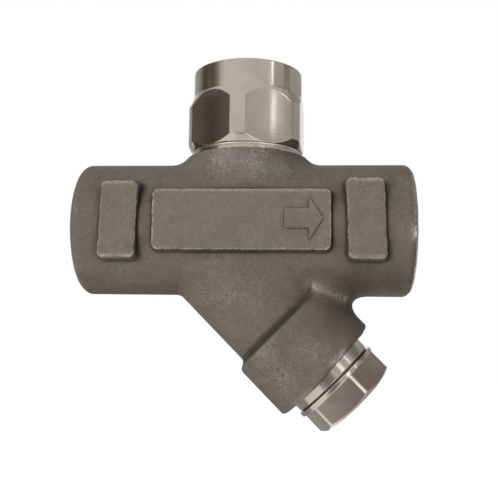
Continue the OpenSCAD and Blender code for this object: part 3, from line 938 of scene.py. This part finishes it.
def cast_steel():
    """Blasted steel casting: mottled and grainy, with painted shade in its hollows and corners, a painted
    shadow under the run, painted glints, and edges worn bright with painted highlights.
    """
    material, tree, shader = new_material("cast_steel")
    where = add_node(tree, "TexCoord").outputs["Object"]
    bend, rub_and_highlight, coarse_glint, stain = (
        add_node(tree, "Attribute", {"attribute_name": name}).outputs["Fac"]
        for name in ("bend", "rub_and_highlight", "coarse_glint", "stain"))
    depth = add_node(tree, "SeparateXYZ", Vector=where).outputs["Y"]
    plate = spread(tree, depth, *((PLATE_Y + sunk) * MM for sunk in PLATE_FACE))
    mottle = noise(tree, where, 6, 4, 0.5)
    cloud = noise(tree, where, 17, 2)
    lumps = noise(tree, where, 1.1, 3)
    grain = noise(tree, where, 0.32, 4, 0.6)
    patch = combine(tree, "MAXIMUM", spread(tree, noise(tree, where, 8, 3), 0.5, 0.7, 0, 0.7), coarse_glint)
    colour = tint(tree, spread(tree, mottle, 0.32, 0.68), CAST_DARK, CAST_LIGHT)
    colour = tint(tree, spread(tree, cloud, 0.42, 0.62, 0, 0.55), colour, CAST_CLOUD)
    # The plates' front faces painted lighter, a painted frontal light
    colour = scaled(tree, colour, spread(tree, plate, 0, 1, 1, 1.13))
    colour = scaled(tree, colour, spread(tree, grain, 0.3, 0.7, 0.86, 1.14))
    colour = scaled(tree, colour, spread(tree, lumps, 0.3, 0.7, 0.92, 1.08))
    # Coarse patches painted lighter, where glints cluster
    colour = scaled(tree, colour, spread(tree, coarse_glint, 0.9, 1.9, 1, 1.38))
    colour = tint(tree, spread(tree, coarse_glint, 0.8, 1.6), colour, scaled(tree, colour, COARSE_GLINT_TINT))
    # Flecks painted as glints, in clusters
    skin = noise(tree, where, 1.6, 5, 0.3)
    cluster = combine(tree, "MULTIPLY", spread(tree, skin, 0.36, 0.62, 0.1, 1), patch)
    fleck_glint = combine(tree, "MULTIPLY", spread(tree, grain, 0.48, 0.66, 0, 0.48), cluster)
    colour = tint(tree, fleck_glint, colour, FLECK_GLINT)
    pit = combine(tree, "MULTIPLY", spread(tree, noise(tree, where, 0.8, 2), 0.29, 0.24), patch)
    colour = tint(tree, pit, colour, PIT)
    # Brown stains, with painted shadow under the run beside the branch
    colour = tint(tree, stain, colour, STAIN_AND_SHADOW)
    # Painted shade in corners and creases, from ambient occlusion at two reaches
    colour = tint(tree, spread(tree, crease(tree, 7), 0.45, 0.95, 0.6, 0), colour, WIDE_CORNER_SHADE)
    colour = tint(tree, spread(tree, crease(tree, 2.5), 0.45, 0.97, 0.9, 0), colour, CLOSE_CORNER_SHADE)
    # Painted shade in hollows, where the bend is below 0, and the painted shadow beside the step
    colour = tint(tree, spread(tree, bend, -0.03, -0.17, 0, 0.85), colour, HOLLOW_SHADE)
    # Worn edges, and rubbed spots with painted highlights and glints; the strongest are painted nearly white
    scuff = noise(tree, where, 0.8, 4, 0.4)
    worn = combine(tree, "MULTIPLY", spread(tree, bend, 0.1, 0.24, 0, 0.85), spread(tree, scuff, 0.43, 0.6))
    rubbed_and_lit = combine(tree, "MULTIPLY", rub_and_highlight, spread(tree, scuff, 0.34, 0.6, 0.15, 0.9))
    colour = tint(tree, combine(tree, "MAXIMUM", worn, rubbed_and_lit), colour, WORN_AND_LIT)
    colour = tint(tree, spread(tree, rubbed_and_lit, 1.1, 1.8), colour, BARE_AND_GLINT)
    roughness = spread(tree, lumps, 0.3, 0.7, 0.66, 0.5)
    fine = combine(tree, "MULTIPLY", grain, 0.35)
    height = combine(tree, "ADD", combine(tree, "ADD", lumps, fine), combine(tree, "MULTIPLY", pit, -0.6))
    shade(tree, shader, colour, roughness, height, 0.1)
    shader.inputs["Metallic"].default_value = 0.04
    shader.inputs["Specular IOR Level"].default_value = 0.12
    return material


def turned_steel(name, light, dark, roughness, aniso=0.0, tool_mark=0.12, mark_depth=0.004):
    """Machined steel with fine tool marks around its axis and painted shade in its corners."""
    material, tree, shader = new_material(name)
    where = add_node(tree, "TexCoord").outputs["Object"]
    stretch = add_node(tree, "Mapping", Vector=where, Scale=MARK_STRETCH)
    marks = noise(tree, stretch.outputs[0], tool_mark, 2)
    smudge = noise(tree, where, 5, 3, 0.4)
    speck = noise(tree, where, 0.35, 2)
    colour = tint(tree, spread(tree, smudge, 0.35, 0.7), light, dark)
    colour = tint(tree, spread(tree, speck, 0.68, 0.78, 0, 0.35), colour, dark)
    # Painted shade in the corners
    colour = tint(tree, spread(tree, crease(tree, 0.5), 0.3, 0.7, 0.8, 0), colour, STEEL_CORNER_SHADE)
    rough = spread(tree, smudge, 0.3, 0.7, roughness * 0.85, roughness * 1.2)
    height = combine(tree, "ADD", marks, combine(tree, "MULTIPLY", speck, 0.3))
    shade(tree, shader, colour, rough, height, mark_depth)
    tangent = add_node(tree, "Tangent", {"direction_type": "RADIAL", "axis": "Z"})
    tree.links.new(tangent.outputs[0], shader.inputs["Tangent"])
    shader.inputs["Metallic"].default_value = 1.0
    shader.inputs["Anisotropic"].default_value = aniso
    shader.inputs["Anisotropic Rotation"].default_value = MARK_TURN
    return material


def screen_sheet():
    """Brushed sheet of the strainer screen."""
    material, tree, shader = new_material("screen_sheet")
    where = add_node(tree, "TexCoord").outputs["Object"]
    brushed = noise(tree, where, 0.15, 3)
    stain = noise(tree, where, 4, 3)
    colour = tint(tree, spread(tree, stain, 0.4, 0.7), SHEET_LIGHT, SHEET_DARK)
    shade(tree, shader, colour, spread(tree, brushed, 0.3, 0.7, 0.3, 0.45), brushed, 0.005)
    shader.inputs["Metallic"].default_value = 1.0
    return material


# Stage, lights and camera

BACKDROP_SOURCES = ("Is Camera Ray", "Is Glossy Ray", "Is Transmission Ray")
FLOOR_Z = -170.0
FLOOR_SIZE = 6000.0
AMBIENT = 0.25
FLOOR_GLOW = 0.9
AIM = Vector((40.0, 0.0, -4.71)) * MM
CAMERA_AT = Vector((52.3, -177.16, -26.19)) * MM
CAMERA_ROLL = math.radians(0.79)
CAMERA_LENS = 53.36
CLIP_START = 0.01

# Each lamp's azimuth, elevation, distance, width, height and power
LAMPS = [
    ("key", -26, 3, 900, 420, 280, 6.2),
    ("back", 175, 14, 1000, 900, 300, 5.0),
]

# Each flag's tones at its left and right edges, azimuths, elevations and distance
# SPLIT is the elevation between what the caps' flats mirror and what their round tops mirror
SPLIT = 23.0
FLAGS = [
    ("flag_flat_far", (0.12, 0.12), (-98, -87), (-8, SPLIT), 420),
    ("flag_flat_left", (0.22, 0.105), (-87, -76.5), (-8, SPLIT), 420),
    ("flag_flat_near", (0.105, 0.36), (-76.5, -56), (-8, SPLIT), 420),
    ("flag_far_left", (0.55, 0.46), (-150, -118), (-8, 45), 420),
    ("flag_left_back", (0.46, 0.08), (-118, -98), (-8, 45), 420),
    ("flag_left", (0.07, 0.2), (-98, -70), (SPLIT, 45), 420),
    ("flag_left_front", (0.22, 1.0), (-70, -46), (SPLIT, 45), 420),
    ("flag_front", (0.95, 0.9), (0, 52.5), (SPLIT, 45), 420),
    ("strip_top", (5.2, 5.2), (53.6, 56.6), (SPLIT, 29), 400),
    ("flag_right_front", (0.78, 0.74), (57.5, 83.5), (SPLIT, 45), 420),
    ("flag_right", (0.26, 0.3), (83.5, 100.5), (SPLIT, 44), 420),
    ("flag_right_back", (0.6, 0.7), (100.5, 160), (SPLIT, 28), 420),
    ("flag_right_high", (0.42, 0.42), (100.5, 160), (28, 45), 420),
    ("flag_right_low", (0.6, 0.42), (100.5, 160), (-8, SPLIT), 420),
    ("flag_flat_right", (0.64, 0.84), (31, 46.5), (4, SPLIT), 420),
    ("strip_flat", (2.4, 2.4), (46.9, 48.3), (6, SPLIT), 405),
    ("flag_flat_side", (1.15, 0.64), (48.6, 53.5), (-8, SPLIT), 420),
    ("flag_side", (0.62, 0.5), (53.5, 100.5), (-8, SPLIT), 420),
    ("flag_plug", (0.34, 0.34), (68, 112), (31, 50), 410),
    ("strip_corner", (2.6, 2.6), (28, 38), (1, 14), 220),
    ("flag_low_left", (0.62, 0.34), (-20, -6), (-42, -5), 220),
    ("flag_low", (0.34, 0.28), (-6, 15), (-42, -5), 220),
    ("flag_neck", (0.72, 0.72), (15, 60), (-5, 19), 246),
    ("flag_low_right", (0.55, 0.55), (95, 150), (-48, -20), 220),
    ("flag_low_back", (0.38, 0.52), (-195, -96), (-62, -8), 180),
]


def shows_backdrop(tree):
    """1 for the rays that see the backdrop: from the camera, off metal, or through glass."""
    path = add_node(tree, "LightPath")
    first, second, third = (path.outputs[name] for name in BACKDROP_SOURCES)
    either = combine(tree, "MAXIMUM", first, second)
    return combine(tree, "MAXIMUM", either, third)


def make_world():
    """White behind the object, and a softer white that lights it."""
    world = bpy.data.worlds.new("studio")
    world.use_nodes = True
    tree = world.node_tree
    tree.nodes.clear()
    strength = spread(tree, shows_backdrop(tree), 0, 1, AMBIENT, 1)
    background = add_node(tree, "Background", Color=WHITE, Strength=strength)
    add_node(tree, "OutputWorld", Surface=background.outputs[0])
    bpy.context.scene.world = world


def add_sheet(name, points, material):
    """A flat sheet that belongs to the stage."""
    mesh = bpy.data.meshes.new(name)
    mesh.from_pydata([tuple(Vector(point) * MM) for point in points], [], [(0, 1, 2, 3)])
    mesh.materials.append(material)
    sheet = bpy.data.objects.new(name, mesh)
    bpy.context.scene.collection.objects.link(sheet)
    return sheet


def make_floor():
    """A pale floor well below the object."""
    material, tree, shader = new_material("pale_floor")
    shader.inputs["Base Color"].default_value = FLOOR_GREY
    shader.inputs["Roughness"].default_value = 0.9
    shader.inputs["Specular IOR Level"].default_value = 0.1
    shader.inputs["Emission Color"].default_value = WHITE
    glow = spread(tree, shows_backdrop(tree), 0, 1, 0, FLOOR_GLOW)
    tree.links.new(glow, shader.inputs["Emission Strength"])
    half = FLOOR_SIZE / 2
    corners = [(-half, -half, FLOOR_Z), (half, -half, FLOOR_Z), (half, half, FLOOR_Z), (-half, half, FLOOR_Z)]
    add_sheet("floor", corners, material)


def toward(azimuth, elevation, distance):
    """Point at an azimuth from the front, positive to the right, and an elevation, in millimetres."""
    a, e = math.radians(azimuth), math.radians(elevation)
    way = Vector((math.sin(a) * math.cos(e), -math.cos(a) * math.cos(e), math.sin(e)))
    return Vector((TRAP_X, 0, 0)) + distance * way


def make_flags():
    """Graded studio flags, which only the metal's reflections show."""
    material, tree, shader = new_material("flag")
    shader.inputs["Base Color"].default_value = BLACK
    shader.inputs["Specular IOR Level"].default_value = 0.0
    tone = add_node(tree, "Attribute", {"attribute_name": "tone"}).outputs["Fac"]
    colour = tint(tree, spread(tree, tone, 0.06, 0.34), FLAG_DIM, FLAG_BRIGHT)
    tree.links.new(colour, shader.inputs["Emission Color"])
    tree.links.new(tone, shader.inputs["Emission Strength"])
    for name, tones, azimuths, elevations, distance in FLAGS:
        left, right = azimuths
        low, high = elevations
        corners = [toward(azimuth, elevation, distance) for azimuth, elevation in (
            (left, low), (right, low), (right, high), (left, high))]
        flag = add_sheet(name, corners, material)
        add_attribute(flag, "tone", [tones[0], tones[1], tones[1], tones[0]])
        flag.visible_camera = False
        flag.visible_diffuse = False
        flag.visible_shadow = False


def add_lamp(name, azimuth, elevation, distance, width, height, power):
    """A rectangular soft light aimed at the object. Metal mirrors the white backdrop instead of it."""
    lamp = bpy.data.lights.new(name, "AREA")
    lamp.shape = "RECTANGLE"
    lamp.size = width * MM
    lamp.size_y = height * MM
    lamp.energy = power
    holder = bpy.data.objects.new(name, lamp)
    holder.location = toward(azimuth, elevation, distance) * MM
    aim = Vector((TRAP_X, 0, 0)) * MM - holder.location
    holder.rotation_euler = aim.to_track_quat("-Z", "Y").to_euler()
    holder.visible_glossy = False
    bpy.context.scene.collection.objects.link(holder)


def make_camera():
    """The photograph's viewpoint."""
    data = bpy.data.cameras.new("camera")
    data.lens = CAMERA_LENS
    data.clip_start = CLIP_START
    camera = bpy.data.objects.new("camera", data)
    look = (AIM - CAMERA_AT).to_track_quat("-Z", "Y").to_matrix().to_4x4()
    camera.matrix_world = Matrix.Translation(CAMERA_AT) @ look @ Matrix.Rotation(CAMERA_ROLL, 4, "Z")
    bpy.context.scene.collection.objects.link(camera)
    bpy.context.scene.camera = camera


cast = cast_steel()
milled = turned_steel("milled_steel", (0.47, 0.42, 0.35, 1), (0.42, 0.37, 0.3, 1),
                      roughness=0.08, tool_mark=0.2)
stained = turned_steel("stained_steel", (0.51, 0.44, 0.36, 1), (0.41, 0.335, 0.26, 1),
                       roughness=0.12, tool_mark=0.2)
steel = turned_steel("machined_steel", (0.48, 0.43, 0.36, 1), (0.42, 0.37, 0.3, 1),
                     roughness=0.17, aniso=0.75)
bored = turned_steel("bored_steel", (0.42, 0.38, 0.33, 1), (0.3, 0.27, 0.23, 1),
                     roughness=0.34, tool_mark=0.3)
gasket = turned_steel("gasket_metal", (0.72, 0.69, 0.63, 1), (0.6, 0.57, 0.51, 1), roughness=0.25)
packing = turned_steel("packing", (0.2, 0.18, 0.15, 1), (0.12, 0.105, 0.09, 1), roughness=0.45)
sheet = screen_sheet()

make_casting(cast, bored)
make_arrow(cast)
make_spigot(steel)
make_neck(steel)
inlet_place = Matrix.Rotation(math.radians(90), 4, "Y")
outlet_end = Matrix.Translation(Vector((RUN_LENGTH, 0, 0)) * MM)
outlet_place = outlet_end @ Matrix.Rotation(math.radians(-90), 4, "Y")
make_port_thread(bored, "inlet_thread", inlet_place)
make_port_thread(bored, "outlet_thread", outlet_place)
make_trap_cap(steel, milled)
make_strainer_cap(steel, stained)
make_ring("cap_ring", LAND_Z, CAP_Z, CAP_RING_R, LAND_R, gasket, "cap_seal", "cap_gasket", trap_axis())
make_ring("plug_ring", NECK_END, PLUG_SEAT, *GASKET_R, packing, "screen", "strainer_gasket", branch_axis())

for node, material in (("seat", bored), ("trap_disc", bored), ("seat_inner_gasket", gasket),
                       ("seat_outer_gasket", gasket), ("strainer_screen", sheet)):
    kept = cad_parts[node]
    kept.data.materials.clear()
    kept.data.materials.append(material)

make_world()
make_floor()
make_flags()
for lamp in LAMPS:
    add_lamp(*lamp)
make_camera()
bpy.context.scene.view_settings.view_transform = "Standard"
